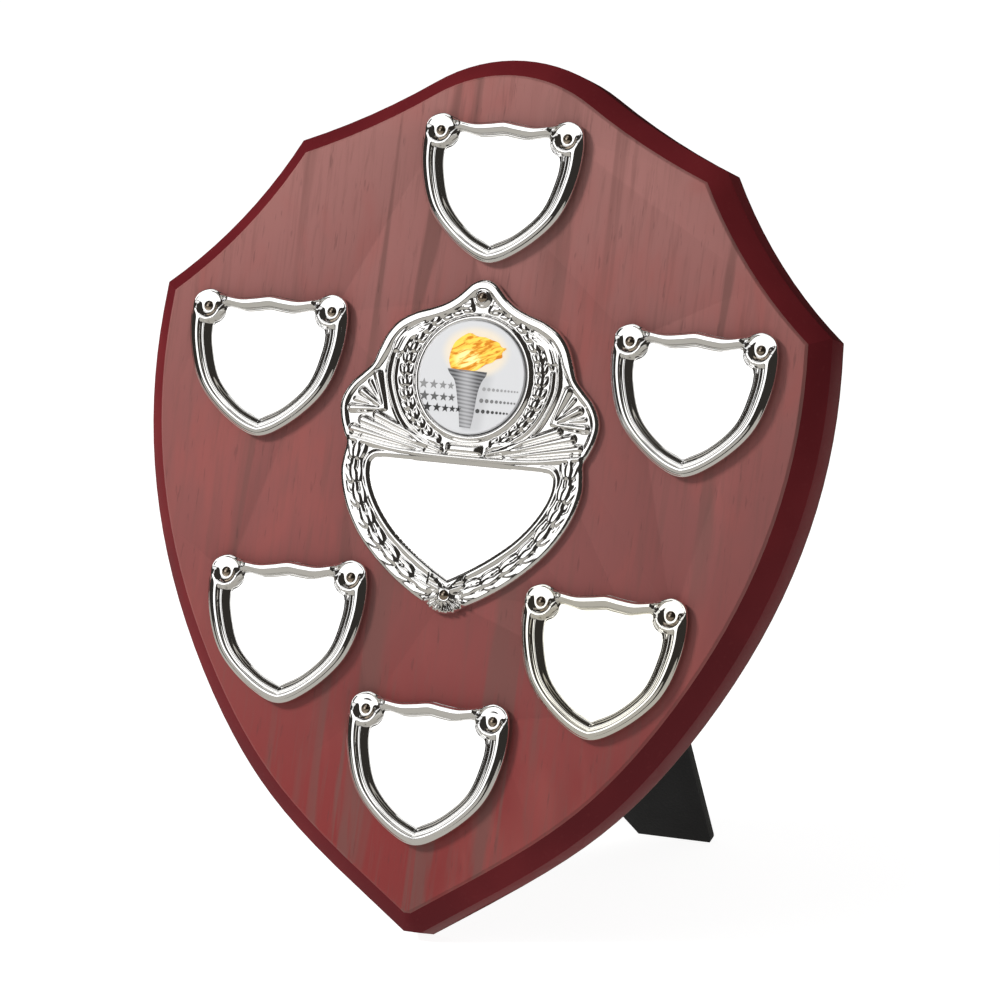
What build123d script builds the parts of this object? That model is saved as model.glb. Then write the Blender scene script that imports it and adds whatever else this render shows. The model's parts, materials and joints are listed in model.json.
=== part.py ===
from build123d import *
import os
from math import cos, radians, sin, tan

# Annual presentation shield: a bevelled wooden shield carrying pressed metal plates,
# leaning back on a hinged strut. The front face of the board is the working plane:
# x runs across, y up the board from its point, z out of the face.

# Board
board_width = 160.0
board_height = 192.5
board_thickness = 12.0
bevel = 4.6
face_veneer = 0.6
back_foil = 0.4
point_flat = 4.0
point_half_angle = 57.0
crown_radius = 38.0
crown_half_angle = 32.5
inner_shoulder_inset = 29.2
inner_shoulder_drop = 21.2
outer_shoulder_inset = 0.6
outer_shoulder_drop = 55.4
shoulder_hollow = 2.3
widest_drop = 71.0
belly_inset = 32.2
belly_height = 36.5
flank_inset = 10.6
flank_height = 72.5
lean = 18.5

# Small pressed shields, pin line on their local X axis
lobe_pitch = 30.2
lobe_radius = 3.9
lobe_ring = 4.4
shield_drop = 28.5
bar_crest = 3.0
bar_dip = 2.2
frame_height = 2.6
field_height = 0.9
field_half_width = 13.9
field_drop = 24.5
bar_depth = 0.7
sheet = 0.5
seat_radius = 2.3
seat_height = 1.5
shield_edge = 0.8

# Where the pin lines of the small shields lie, and how far each hangs off level
top_shield_drop = 17.5
upper_shield_inset = 29.3
upper_shield_drop = 60.1
lower_shield_inset = 42.2
lower_shield_height = 74.2
bottom_shield_height = 47.1
shield_turns = {"top": 0.0, "upper_left": 1.9, "upper_right": 0.9,
                "lower_left": 3.1, "lower_right": -0.3, "bottom": 0.6}

# Centre mount, measured from the middle of its disc
disc_drop = 71.3
mount_half_width = 30.9
mount_top = 21.9
mount_bottom = 51.9
mount_height = 1.9
mount_edge = 0.6
waist_half_width = 28.2
waist_drop = 16.5
mount_field_height = 0.9
mount_field_top = 18.9
mount_field_drop = 44.6
mount_field_half_width = 22.0
ring_inner = 12.7
ring_width = 1.4
ring_height = 2.6
top_pin_rise = 17.7
bottom_pin_drop = 47.8

# Printed disc and its pad
disc_radius = 12.5
disc_thickness = 0.8
pad_radius = 11.5
pad_thickness = 0.3

# Dome-headed drive pins
pin_radius = 0.55
pin_depth = 7.0
pin_head_radius = 1.15
pin_head_height = 0.7
pin_hole_clearance = 0.02
sheet_hole_clearance = 0.1

# Wall hole, drilled blind in the back
hanging_radius = 4.0
hanging_depth = 7.0
hanging_height = 168.0

# Strut hinge
hinge_height = 147.0
hinge_width = 22.0
hinge_sheet = 0.6
hinge_pin_radius = 1.1
hinge_running_clearance = 0.05
hinge_press_clearance = 0.02
centre_knuckle = 8.0
knuckle_gap = 0.15
leaf_length = 13.0
stop_ear_length = 4.5
stop_ear_width = 6.0
stop_ear_gap = 0.1
screw_radius = 1.3
screw_head_radius = 2.4
screw_head_depth = 0.55
screw_length = 9.0
screw_spacing = 13.0
screw_rise = 8.5
rivet_radius = 1.0
rivet_head_radius = 1.8
rivet_head_height = 0.7
rivet_spacing = 11.0
rivet_drop = 8.5

# Strut
strut_open = 35.2
strut_thickness = 2.4
strut_fold_gap = 0.5
strut_top_width = 28.0
strut_foot_width = 64.4
strut_top_gap = 0.8
foot_width = 17.6
arch_slope = 39.0
arch_radius = 8.0
strut_corner = 2.0
foot_outer_corner = 1.5
foot_inner_corner = 2.5

os.makedirs("parts", exist_ok=True)

# ---- Places worked out from the sizes ----
knuckle_radius = hinge_pin_radius + hinge_running_clearance + hinge_sheet
strut_lean = strut_open - lean
point_rise = board_thickness * sin(radians(lean))
axis_depth = board_thickness + knuckle_radius
axis_y = hinge_height * sin(radians(lean)) + axis_depth * cos(radians(lean))
axis_z = point_rise + hinge_height * cos(radians(lean)) - axis_depth * sin(radians(lean))
strut_back = strut_fold_gap + strut_thickness - knuckle_radius
front_y = bevel * sin(radians(lean))
foot_y = axis_y + axis_z * tan(radians(strut_lean)) + strut_back / cos(radians(strut_lean))
shift_y = -(front_y + foot_y) / 2

face = Plane(
    origin=(0, shift_y, point_rise),
    x_dir=(1, 0, 0),
    z_dir=(0, -cos(radians(lean)), sin(radians(lean))),
)
# The hinge plane lies in the board's back: its Z points away from the back, X to the left
hinge_axis_point = face.from_local_coords(Vector(0, hinge_height, -axis_depth))
leaf_plane = Plane(origin=hinge_axis_point, x_dir=(-1, 0, 0), z_dir=-face.z_dir)
strut_plane = Plane(
    origin=hinge_axis_point,
    x_dir=(-1, 0, 0),
    z_dir=(0, cos(radians(strut_lean)), sin(radians(strut_lean))),
)

half_width = board_width / 2
places = {
    "top": (0, board_height - top_shield_drop),
    "upper_left": (-(half_width - upper_shield_inset), board_height - upper_shield_drop),
    "upper_right": (half_width - upper_shield_inset, board_height - upper_shield_drop),
    "lower_left": (-(half_width - lower_shield_inset), lower_shield_height),
    "lower_right": (half_width - lower_shield_inset, lower_shield_height),
    "bottom": (0, bottom_shield_height),
}
disc_height = board_height - disc_drop


def place_on_face(x, y, height=0.0, turn=0.0):
    """Plane on the front face at (x, y), raised by height and turned anticlockwise."""
    x_dir = face.x_dir * cos(radians(turn)) + face.y_dir * sin(radians(turn))
    return Plane(origin=face.from_local_coords(Vector(x, y, height)), x_dir=x_dir, z_dir=face.z_dir)


def pin_places():
    """Every drive pin as a point (x, y) of the front face, grouped by the plate it holds."""
    groups = {}
    for name, (x, y) in places.items():
        reach = lobe_pitch / 2
        turn = radians(shield_turns[name])
        groups[name] = [(x + side * reach * cos(turn), y + side * reach * sin(turn)) for side in (-1, 1)]
    groups["centre"] = [(0, disc_height + top_pin_rise), (0, disc_height - bottom_pin_drop)]
    return groups


screw_points = [(-screw_spacing / 2, screw_rise), (screw_spacing / 2, screw_rise)]
screw_places = [
    Plane(
        origin=leaf_plane.from_local_coords(Vector(x, y, -knuckle_radius)),
        x_dir=leaf_plane.x_dir,
        z_dir=leaf_plane.z_dir,
    )
    for x, y in screw_points
]
wall_hole_plane = Plane(
    origin=face.from_local_coords(Vector(0, hanging_height, -board_thickness)),
    x_dir=leaf_plane.x_dir,
    z_dir=leaf_plane.z_dir,
)



def redraw(outline, grow):
    """The outline grown by an amount (shrunk when negative) and drawn again in plain splines."""
    with BuildSketch() as grown:
        add(outline.sketch)
        offset(amount=grow)
    with BuildSketch() as redrawn:
        with BuildLine():
            for edge in grown.sketch.edges():
                points = [edge @ (step / 10) for step in range(11)]
                Spline(*points, tangents=[edge % 0, edge % 1])
        make_face()
    return redrawn


# ---- Board: fibreboard core, face veneer and back foil, cut from one bevelled blank ----
with BuildSketch() as board_outline:
    with BuildLine():
        crown = CenterArc((0, board_height - crown_radius), crown_radius, 90, -crown_half_angle)
        inner_shoulder = (half_width - inner_shoulder_inset, board_height - inner_shoulder_drop)
        outer_shoulder = (half_width - outer_shoulder_inset, board_height - outer_shoulder_drop)
        TangentArc(crown @ 1, inner_shoulder, tangent=crown % 1)
        SagittaArc(inner_shoulder, outer_shoulder, -shoulder_hollow)
        point_direction = (-sin(radians(point_half_angle)), -cos(radians(point_half_angle)))
        Spline(
            outer_shoulder,
            (half_width, board_height - widest_drop),
            (half_width - flank_inset, flank_height),
            (half_width - belly_inset, belly_height),
            (point_flat / 2, 0),
            tangents=[(0.08, -1), point_direction],
        )
        Line((point_flat / 2, 0), (0, 0))
        mirror(about=Plane.YZ)
    make_face()

with BuildPart() as board_blank:
    with BuildSketch(face.offset(-board_thickness)):
        add(board_outline.sketch)
    extrude(amount=board_thickness)
    chamfer(board_blank.faces().sort_by(Axis(face.origin, face.z_dir))[-1].edges(), bevel)

with BuildPart() as front_veneer:
    add(board_blank.part)
    split(bisect_by=face.offset(-face_veneer), keep=Keep.TOP)
    for points in pin_places().values():
        with Locations(*[place_on_face(x, y) for x, y in points]):
            Hole(pin_radius + pin_hole_clearance)

with BuildPart() as back_foil_sheet:
    add(board_blank.part)
    split(bisect_by=face.offset(back_foil - board_thickness), keep=Keep.BOTTOM)
    with Locations(place_on_face(0, hanging_height)):
        Hole(hanging_radius)
    with Locations(*screw_places):
        Hole(screw_radius)

with BuildPart() as board_core:
    add(board_blank.part)
    split(bisect_by=face.offset(-face_veneer), keep=Keep.BOTTOM)
    split(bisect_by=face.offset(back_foil - board_thickness), keep=Keep.TOP)
    for points in pin_places().values():
        with Locations(*[place_on_face(x, y, -face_veneer) for x, y in points]):
            Hole(pin_radius + pin_hole_clearance, pin_depth - face_veneer)
    with Locations(wall_hole_plane):
        Hole(hanging_radius, hanging_depth)
    with Locations(*screw_places):
        Hole(screw_radius, screw_length)

# ---- Small pressed shields: one sheet with a raised frame, two pin seats and a flat field ----
with BuildSketch() as shield_outline:
    with BuildLine():
        lobe = CenterArc((lobe_pitch / 2, 0), lobe_radius, 0, 145)
        Spline(lobe @ 1, (lobe_pitch / 4, bar_dip), (0, bar_crest), tangents=[(-1, -0.35), (-1, 0)])
        side_points = (lobe @ 0, (18.6, -8.5), (15.0, -18.0), (6.3, -26.0), (0, -shield_drop))
        Spline(*side_points, tangents=[(0, -1), (-0.93, -0.37)])
        mirror(about=Plane.YZ)
    make_face()
    fillet(shield_outline.vertices().sort_by(Axis.Y)[0], 2.5)

with BuildSketch() as shield_field:
    with BuildLine():
        ring = CenterArc((lobe_pitch / 2, 0), lobe_ring, 182, 68)
        Spline(ring @ 0, (lobe_pitch / 6, -bar_depth), (0, -0.1), tangents=[(-1, -0.2), (-1, 0.2)])
        field_side = (ring @ 1, (field_half_width - 0.5, -8.5), (10.6, -16.5), (0, -field_drop))
        Spline(*field_side, tangents=[(0.1, -1), (-0.9, -0.5)])
        mirror(about=Plane.YZ)
    make_face()

shield_hollow = redraw(shield_outline, -sheet)
field_backing = redraw(shield_field, sheet)
shields = {}
for name, (x, y) in places.items():
    seat_points = [(-lobe_pitch / 2, 0), (lobe_pitch / 2, 0)]
    plate_plane = place_on_face(x, y, 0, shield_turns[name])
    with BuildPart() as hollow:
        with BuildSketch(plate_plane):
            add(shield_hollow.sketch)
        extrude(amount=frame_height - sheet)
        with BuildSketch(plate_plane.offset(field_height - sheet)):
            add(field_backing.sketch)
        extrude(amount=frame_height, mode=Mode.SUBTRACT)
        with BuildSketch(plate_plane.offset(seat_height - sheet)):
            with Locations(*seat_points):
                Circle(seat_radius + sheet)
        extrude(amount=frame_height, mode=Mode.SUBTRACT)
    with BuildPart() as side_shield:
        with BuildSketch(plate_plane):
            add(shield_outline.sketch)
        extrude(amount=frame_height)
        chamfer(side_shield.faces().sort_by(Axis(face.origin, face.z_dir))[-1].edges(), shield_edge)
        with BuildSketch(plate_plane.offset(field_height)):
            add(shield_field.sketch)
        extrude(amount=frame_height, mode=Mode.SUBTRACT)
        with BuildSketch(plate_plane.offset(seat_height)):
            with Locations(*seat_points):
                Circle(seat_radius)
        extrude(amount=frame_height, mode=Mode.SUBTRACT)
        with BuildSketch(plate_plane):
            with Locations(*seat_points):
                Circle(pin_radius + sheet_hole_clearance)
        extrude(amount=frame_height, mode=Mode.SUBTRACT)
        add(hollow.part, mode=Mode.SUBTRACT)
    side_shield.part.label = f"side_shield_{name}"
    shields[name] = side_shield

# ---- Centre mount: one pressed sheet that frames the disc above and a large field below ----
with BuildSketch() as mount_outline:
    with BuildLine():
        waist = (waist_half_width, -waist_drop)
        crown_foot = (24.3, 1.6)
        knot = (4.4, -50.0)
        crown_points = ((0, mount_top), (6.3, 17.8), (14.0, 14.2), (21.6, 8.4), crown_foot)
        Spline(*crown_points, tangents=[(1, 0), (0.3, -1)])
        Spline(crown_foot, (mount_half_width, -8.3), waist, tangents=[(0.8, -0.7), (-0.5, -0.9)])
        shield_points = (waist, (28.8, -22.5), (22.7, -36.4), (13.5, -44.8), knot)
        Spline(*shield_points, tangents=[(0.3, -1), (-0.9, -0.42)])
        ThreePointArc(knot, (3.1, -51.2), (0, -mount_bottom))
        mirror(about=Plane.YZ)
    make_face()

with BuildSketch() as mount_field:
    with BuildLine():
        corner = CenterArc((mount_field_half_width - 2.3, -mount_field_top - 2.3), 2.3, 90, -90)
        Line((0, -mount_field_top), corner @ 0)
        field_side = (corner @ 1, (18.6, -30.3), (9.7, -38.9), (0, -mount_field_drop))
        Spline(*field_side, tangents=[(0, -1), (-0.84, -0.54)])
        mirror(about=Plane.YZ)
    make_face()

mount_hollow_outline = redraw(mount_outline, -sheet)
mount_field_backing = redraw(mount_field, sheet)
mount_plane = place_on_face(0, disc_height)
mount_pin_points = [(0, top_pin_rise), (0, -bottom_pin_drop)]
with BuildPart() as mount_hollow:
    with BuildSketch(mount_plane):
        add(mount_hollow_outline.sketch)
    extrude(amount=mount_height - sheet)
    with BuildSketch(mount_plane.offset(mount_field_height - sheet)):
        add(mount_field_backing.sketch)
        Circle(ring_inner + sheet)
        with Locations(*mount_pin_points):
            Circle(seat_radius)
    extrude(amount=mount_height, mode=Mode.SUBTRACT)

with BuildPart() as centre_mount:
    with BuildSketch(mount_plane):
        add(mount_outline.sketch)
    extrude(amount=mount_height)
    chamfer(centre_mount.faces().sort_by(Axis(face.origin, face.z_dir))[-1].edges(), mount_edge)
    with BuildSketch(mount_plane):
        Circle(ring_inner + ring_width)
    extrude(amount=ring_height)
    with BuildSketch(mount_plane.offset(mount_field_height)):
        add(mount_field.sketch)
        Circle(ring_inner)
    extrude(amount=ring_height, mode=Mode.SUBTRACT)
    with BuildSketch(mount_plane):
        with Locations(*mount_pin_points):
            Circle(pin_radius + sheet_hole_clearance)
    extrude(amount=ring_height, mode=Mode.SUBTRACT)
    add(mount_hollow.part, mode=Mode.SUBTRACT)

with BuildPart() as disc_adhesive_pad:
    with BuildSketch(mount_plane.offset(mount_field_height)):
        Circle(pad_radius)
    extrude(amount=pad_thickness)

with BuildPart() as centre_disc:
    with BuildSketch(mount_plane.offset(mount_field_height + pad_thickness)):
        Circle(disc_radius)
    extrude(amount=disc_thickness)
    chamfer(centre_disc.faces().sort_by(Axis(face.origin, face.z_dir))[-1].edges(), 0.2)

# ---- Drive pins: a domed head on a plain shank ----
pin_groups = {}
for name, points in pin_places().items():
    head_height = mount_height if name == "centre" else seat_height
    with BuildPart() as drive_pins:
        for x, y in points:
            with BuildSketch(place_on_face(x, y, head_height)):
                Circle(pin_head_radius)
            extrude(amount=pin_head_height)
        fillet(drive_pins.faces().group_by(Axis(face.origin, face.z_dir))[-1].edges(), pin_head_height * 0.9)
        for x, y in points:
            with BuildSketch(place_on_face(x, y, -pin_depth)):
                Circle(pin_radius)
            extrude(amount=pin_depth + head_height)
    pin_groups[name] = drive_pins

# ---- Hinge: two curled leaves on one pin, screwed to the board and riveted to the strut ----
# In these sections the first axis runs along the leaf and the second across its thickness
board_section = Plane(origin=hinge_axis_point, x_dir=face.y_dir, z_dir=(1, 0, 0))
strut_section = Plane(origin=hinge_axis_point, x_dir=-strut_plane.y_dir, z_dir=(1, 0, 0))
rivet_points = [(-rivet_spacing / 2, -rivet_drop), (rivet_spacing / 2, -rivet_drop)]

with BuildPart() as hinge_board_leaf:
    with BuildSketch(board_section):
        Circle(knuckle_radius)
        with Locations((leaf_length / 2, knuckle_radius - hinge_sheet / 2)):
            Rectangle(leaf_length, hinge_sheet)
    extrude(amount=hinge_width / 2, both=True)
    with BuildSketch(board_section):
        with Locations((knuckle_gap / 2, 0)):
            Rectangle(2 * knuckle_radius + knuckle_gap, 2 * knuckle_radius)
    extrude(amount=centre_knuckle / 2 + knuckle_gap, both=True, mode=Mode.SUBTRACT)
    with BuildSketch(board_section):
        Circle(hinge_pin_radius + hinge_press_clearance)
    extrude(amount=hinge_width, both=True, mode=Mode.SUBTRACT)
    with Locations(*[place.offset(hinge_sheet) for place in screw_places]):
        CounterSinkHole(screw_radius + 0.1, screw_head_radius, counter_sink_angle=90)

with BuildPart() as hinge_strut_leaf:
    with BuildSketch(strut_section):
        Circle(knuckle_radius)
    extrude(amount=centre_knuckle / 2, both=True)
    with BuildSketch(strut_section):
        with Locations(((leaf_length + knuckle_radius + knuckle_gap) / 2, strut_back + hinge_sheet / 2)):
            Rectangle(leaf_length - knuckle_radius - knuckle_gap, hinge_sheet)
    extrude(amount=hinge_width / 2, both=True)
    with BuildSketch(strut_section):
        with Locations((leaf_length / 4, strut_back + hinge_sheet / 2)):
            Rectangle(leaf_length / 2, hinge_sheet)
    extrude(amount=centre_knuckle / 2, both=True)
    with BuildSketch(board_section):
        ear_centre = knuckle_radius - hinge_sheet - stop_ear_gap - hinge_sheet / 2
        with Locations(((knuckle_radius + stop_ear_length) / 2, ear_centre)):
            Rectangle(knuckle_radius + stop_ear_length, hinge_sheet)
    extrude(amount=stop_ear_width / 2, both=True)
    with BuildSketch(strut_section):
        Circle(hinge_pin_radius + hinge_running_clearance)
    extrude(amount=hinge_width, both=True, mode=Mode.SUBTRACT)
    with BuildSketch(strut_plane):
        with Locations(*rivet_points):
            Circle(rivet_radius + hinge_press_clearance)
    extrude(amount=2 * knuckle_radius + strut_thickness, mode=Mode.SUBTRACT)

with BuildPart() as hinge_pin:
    with BuildSketch(board_section):
        Circle(hinge_pin_radius)
    extrude(amount=hinge_width / 2, both=True)

with BuildPart() as hinge_screws:
    with BuildSketch(leaf_plane.offset(hinge_sheet - knuckle_radius)):
        with Locations(*screw_points):
            Circle(screw_head_radius - 0.05)
    extrude(amount=-screw_head_depth, taper=45)
    with BuildSketch(leaf_plane.offset(hinge_sheet - knuckle_radius - screw_head_depth / 2)):
        with Locations(*screw_points):
            Circle(screw_radius - pin_hole_clearance)
    extrude(amount=screw_head_depth / 2 - screw_length)

# ---- Strut: a flared plate with an arch between two feet, cut level with the floor ----
strut_top = knuckle_radius + strut_top_gap
strut_reach = (axis_z + strut_back * sin(radians(strut_lean))) / cos(radians(strut_lean))
foot_half = strut_foot_width / 2
arch_half = foot_half - foot_width
arch_apex = arch_half / tan(radians(arch_slope))
with BuildPart() as strut:
    with BuildSketch(strut_plane.offset(strut_back - strut_thickness)) as strut_outline:
        with BuildLine():
            Polyline(
                (0, -strut_top),
                (strut_top_width / 2, -strut_top),
                (foot_half, -strut_reach),
                (arch_half, -strut_reach),
                (0, arch_apex - strut_reach),
            )
            mirror(about=Plane.YZ)
        make_face()
        fillet(strut_outline.vertices().group_by(Axis.Y)[-1], strut_corner)
        fillet(strut_outline.vertices().filter_by_position(Axis.X, -1, 1), arch_radius)
        feet = strut_outline.vertices().group_by(Axis.Y)[0].sort_by(Axis.X)
        fillet([feet[0], feet[-1]], foot_outer_corner)
        feet = strut_outline.vertices().group_by(Axis.Y)[0].sort_by(Axis.X)
        fillet(feet[1:-1], foot_inner_corner)
    extrude(amount=strut_thickness)
    with BuildSketch(strut_plane):
        with Locations(*rivet_points):
            Circle(rivet_radius + hinge_press_clearance)
    extrude(amount=2 * strut_thickness, both=True, mode=Mode.SUBTRACT)
    split(bisect_by=Plane.XY, keep=Keep.TOP)

with BuildPart() as hinge_rivets:
    with BuildSketch(strut_plane.offset(strut_back + hinge_sheet)):
        with Locations(*rivet_points):
            Circle(rivet_head_radius)
    extrude(amount=rivet_head_height)
    rivet_tops = hinge_rivets.faces().group_by(Axis(hinge_axis_point, strut_plane.z_dir))[-1]
    fillet(rivet_tops.edges(), rivet_head_height * 0.9)
    with BuildSketch(strut_plane.offset(strut_back - strut_thickness)):
        with Locations(*rivet_points):
            Circle(rivet_radius)
    extrude(amount=strut_thickness + hinge_sheet)

# ---- Names and files ----
front_veneer.part.label = "front_veneer"
board_core.part.label = "board_core"
back_foil_sheet.part.label = "back_foil"
centre_mount.part.label = "centre_mount"
centre_disc.part.label = "centre_disc"
disc_adhesive_pad.part.label = "disc_adhesive_pad"
hinge_board_leaf.part.label = "hinge_board_leaf"
hinge_strut_leaf.part.label = "hinge_strut_leaf"
hinge_pin.part.label = "hinge_pin"
hinge_screws.part.label = "hinge_screws"
hinge_rivets.part.label = "hinge_rivets"
strut.part.label = "strut"

export_step(front_veneer.part, "parts/front_veneer.step")
export_step(board_core.part, "parts/board_core.step")
export_step(back_foil_sheet.part, "parts/back_foil.step")
export_step(centre_mount.part, "parts/centre_mount.step")
export_step(centre_disc.part, "parts/centre_disc.step")
export_step(disc_adhesive_pad.part, "parts/disc_adhesive_pad.step")
export_step(hinge_board_leaf.part, "parts/hinge_board_leaf.step")
export_step(hinge_strut_leaf.part, "parts/hinge_strut_leaf.step")
export_step(hinge_pin.part, "parts/hinge_pin.step")
export_step(hinge_screws.part, "parts/hinge_screws.step")
export_step(hinge_rivets.part, "parts/hinge_rivets.step")
export_step(strut.part, "parts/strut.step")
for name, side_shield in shields.items():
    export_step(side_shield.part, f"parts/side_shield_{name}.step")
for name, drive_pins in pin_groups.items():
    drive_pins.part.label = f"{name}_pins"
    export_step(drive_pins.part, f"parts/{name}_pins.step")
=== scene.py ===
import json
from math import atan2, cos, pi, radians, sin

import bmesh
import bpy
import numpy as np
from mathutils import Matrix, Vector


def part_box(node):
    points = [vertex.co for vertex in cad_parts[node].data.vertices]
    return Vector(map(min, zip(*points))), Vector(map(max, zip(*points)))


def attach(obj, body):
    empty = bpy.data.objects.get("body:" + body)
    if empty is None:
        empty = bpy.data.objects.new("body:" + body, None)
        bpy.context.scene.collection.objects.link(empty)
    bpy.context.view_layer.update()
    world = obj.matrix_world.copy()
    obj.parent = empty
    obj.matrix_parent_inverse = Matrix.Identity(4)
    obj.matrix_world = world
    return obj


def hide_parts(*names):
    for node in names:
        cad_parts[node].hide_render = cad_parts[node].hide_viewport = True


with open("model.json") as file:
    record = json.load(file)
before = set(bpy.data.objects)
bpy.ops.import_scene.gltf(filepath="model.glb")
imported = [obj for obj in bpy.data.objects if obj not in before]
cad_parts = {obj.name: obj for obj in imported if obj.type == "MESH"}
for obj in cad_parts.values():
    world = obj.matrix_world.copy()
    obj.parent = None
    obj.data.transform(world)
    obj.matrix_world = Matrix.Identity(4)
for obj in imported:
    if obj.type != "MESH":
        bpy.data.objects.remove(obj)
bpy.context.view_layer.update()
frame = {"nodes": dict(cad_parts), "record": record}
nodes = frame["nodes"]
mounts = {mount["name"]: mount for mount in frame["record"]["mounts"]}

# ---- Studio ----
# A white floor, a small key lamp far to the left for the shadows, a large softbox that only
# shows in bright surfaces, a softbox overhead, and even fill light. Bright metal needs something
# dark to show its form, so it sees just the softboxes and a grey card in a dark room.
camera_azimuth = radians(23.7)
camera_elevation = radians(13.28)
camera_distance = 1.1709
camera_aim = Vector((0.0194, -0.0442, 0.1))
lens_to_sensor = 5.507
lamp_distance = 1.6
fill_strength = 0.3
room_dark = (0.03, 0.027, 0.024, 1)
floor_size = 30
floor_white = (0.32, 0.32, 0.32, 1)
floor_glow = 0.9
card_size = 1.4
card_grey = (0.46, 0.44, 0.40, 1)
paper_roughness = 0.9


def around(azimuth, elevation):
    """Unit vector from the object towards something, azimuth 0 being straight in front."""
    level = cos(elevation)
    return Vector((sin(azimuth) * level, -cos(azimuth) * level, sin(elevation)))


camera_data = bpy.data.cameras.new("camera")
camera = bpy.data.objects.new("camera", camera_data)
bpy.context.scene.collection.objects.link(camera)
camera_data.lens = camera_data.sensor_width * lens_to_sensor
camera.location = camera_aim + around(camera_azimuth, camera_elevation) * camera_distance
camera.rotation_euler = around(camera_azimuth, camera_elevation).to_track_quat("Z", "Y").to_euler()
bpy.context.scene.camera = camera
bpy.context.scene.view_settings.view_transform = "Standard"


def softbox(name, azimuth, elevation, size, power):
    """A square area lamp that faces the object."""
    lamp = bpy.data.lights.new(name, "AREA")
    lamp.shape = "SQUARE"
    lamp.size = size
    lamp.energy = power
    light = bpy.data.objects.new(name, lamp)
    direction = around(radians(azimuth), radians(elevation))
    light.location = camera_aim + direction * lamp_distance
    light.rotation_euler = direction.to_track_quat("Z", "Y").to_euler()
    bpy.context.scene.collection.objects.link(light)
    return light


key_light = softbox("key_light", -57, 35, 0.3, 26)
key_light.visible_glossy = False
front_softbox = softbox("front_softbox", -28, 22, 1.05, 4.8)
front_softbox.visible_diffuse = False
softbox("overhead_softbox", -30, 64, 0.9, 2.4)

world = bpy.data.worlds.new("studio")
bpy.context.scene.world = world
world.use_nodes = True
world_nodes = world.node_tree.nodes
world_links = world.node_tree.links
fill = world_nodes["Background"]
fill.inputs["Color"].default_value = (1, 1, 1, 1)
fill.inputs["Strength"].default_value = fill_strength
dark = world_nodes.new("ShaderNodeBackground")
dark.inputs["Color"].default_value = room_dark
rays = world_nodes.new("ShaderNodeLightPath")
choice = world_nodes.new("ShaderNodeMixShader")
world_links.new(rays.outputs["Is Glossy Ray"], choice.inputs[0])
world_links.new(fill.outputs[0], choice.inputs[1])
world_links.new(dark.outputs[0], choice.inputs[2])
world_links.new(choice.outputs[0], world_nodes["World Output"].inputs[0])


def select_only(*objects):
    """Leaves just these objects selected, the first of them active."""
    bpy.ops.object.select_all(action="DESELECT")
    for thing in objects:
        thing.select_set(True)
    bpy.context.view_layer.objects.active = objects[0]


bpy.ops.object.select_all(action="DESELECT")
bpy.ops.mesh.primitive_plane_add(size=floor_size, location=(0, 0, 0))
floor = bpy.context.object
floor.name = "floor"
floor.visible_glossy = False
bpy.ops.mesh.primitive_plane_add(size=card_size, location=(0, -0.1, 0))
card = bpy.context.object
card.name = "grey_card"
card.visible_camera = False
card.visible_diffuse = False
card.visible_shadow = False
for thing, shade in ((floor, floor_white), (card, card_grey)):
    paper = bpy.data.materials.new(thing.name)
    paper.use_nodes = True
    shader = paper.node_tree.nodes["Principled BSDF"]
    shader.inputs["Base Color"].default_value = shade
    shader.inputs["Roughness"].default_value = paper_roughness
    thing.data.materials.append(paper)
floor_paper = floor.data.materials[0].node_tree.nodes["Principled BSDF"]
floor_paper.inputs["Emission Color"].default_value = (1, 1, 1, 1)
floor_paper.inputs["Emission Strength"].default_value = floor_glow

# ---- Board ----
# Shield-shaped fibreboard, routed to a 45 degree bevel all round and sprayed with
# mahogany lacquer that is rubbed to a soft gloss. Its sharp edges are broken by the sanding.
front_normal = Vector(mounts["centre_engraving_field"]["axis"])
lean = atan2(front_normal.z, -front_normal.y)
lacquer_red = (0.128, 0.0125, 0.0155, 1)
lacquer_dark = (0.09, 0.0085, 0.0115, 1)
lacquer_speck = (0.16, 0.03, 0.03, 1)
edge_break = 0.0004
millimetre = 0.001


class Socket:
    """A node's output that can be used in sums, so that a pattern reads as arithmetic."""

    def __init__(self, finish, link):
        self.finish = finish
        self.link = link

    def math(self, operation, *others):
        node = self.finish.node("ShaderNodeMath", {"operation": operation}, dict(enumerate((self, *others))))
        return node[0]

    def __add__(self, other):
        return self.math("ADD", other)

    def __radd__(self, other):
        return self.math("ADD", other)

    def __sub__(self, other):
        return self.math("SUBTRACT", other)

    def __rsub__(self, other):
        node = self.finish.node("ShaderNodeMath", {"operation": "SUBTRACT"}, {0: other, 1: self})
        return node[0]

    def __mul__(self, other):
        return self.math("MULTIPLY", other)

    def __rmul__(self, other):
        return self.math("MULTIPLY", other)

    def __truediv__(self, other):
        return self.math("DIVIDE", other)

    def __pow__(self, other):
        return self.math("POWER", other)

    def ramp(self, low, high):
        """0 below low, 1 above high, smooth between."""
        settings = {"interpolation_type": "SMOOTHSTEP"}
        sockets = {"Value": self, "From Min": low, "From Max": high}
        return self.finish.node("ShaderNodeMapRange", settings, sockets)["Result"]


class NodeOutputs:
    """A node whose outputs are read by name or number as Sockets."""

    def __init__(self, finish, node):
        self.finish = finish
        self.node = node

    def __getitem__(self, key):
        return Socket(self.finish, self.node.outputs[key])


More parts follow.
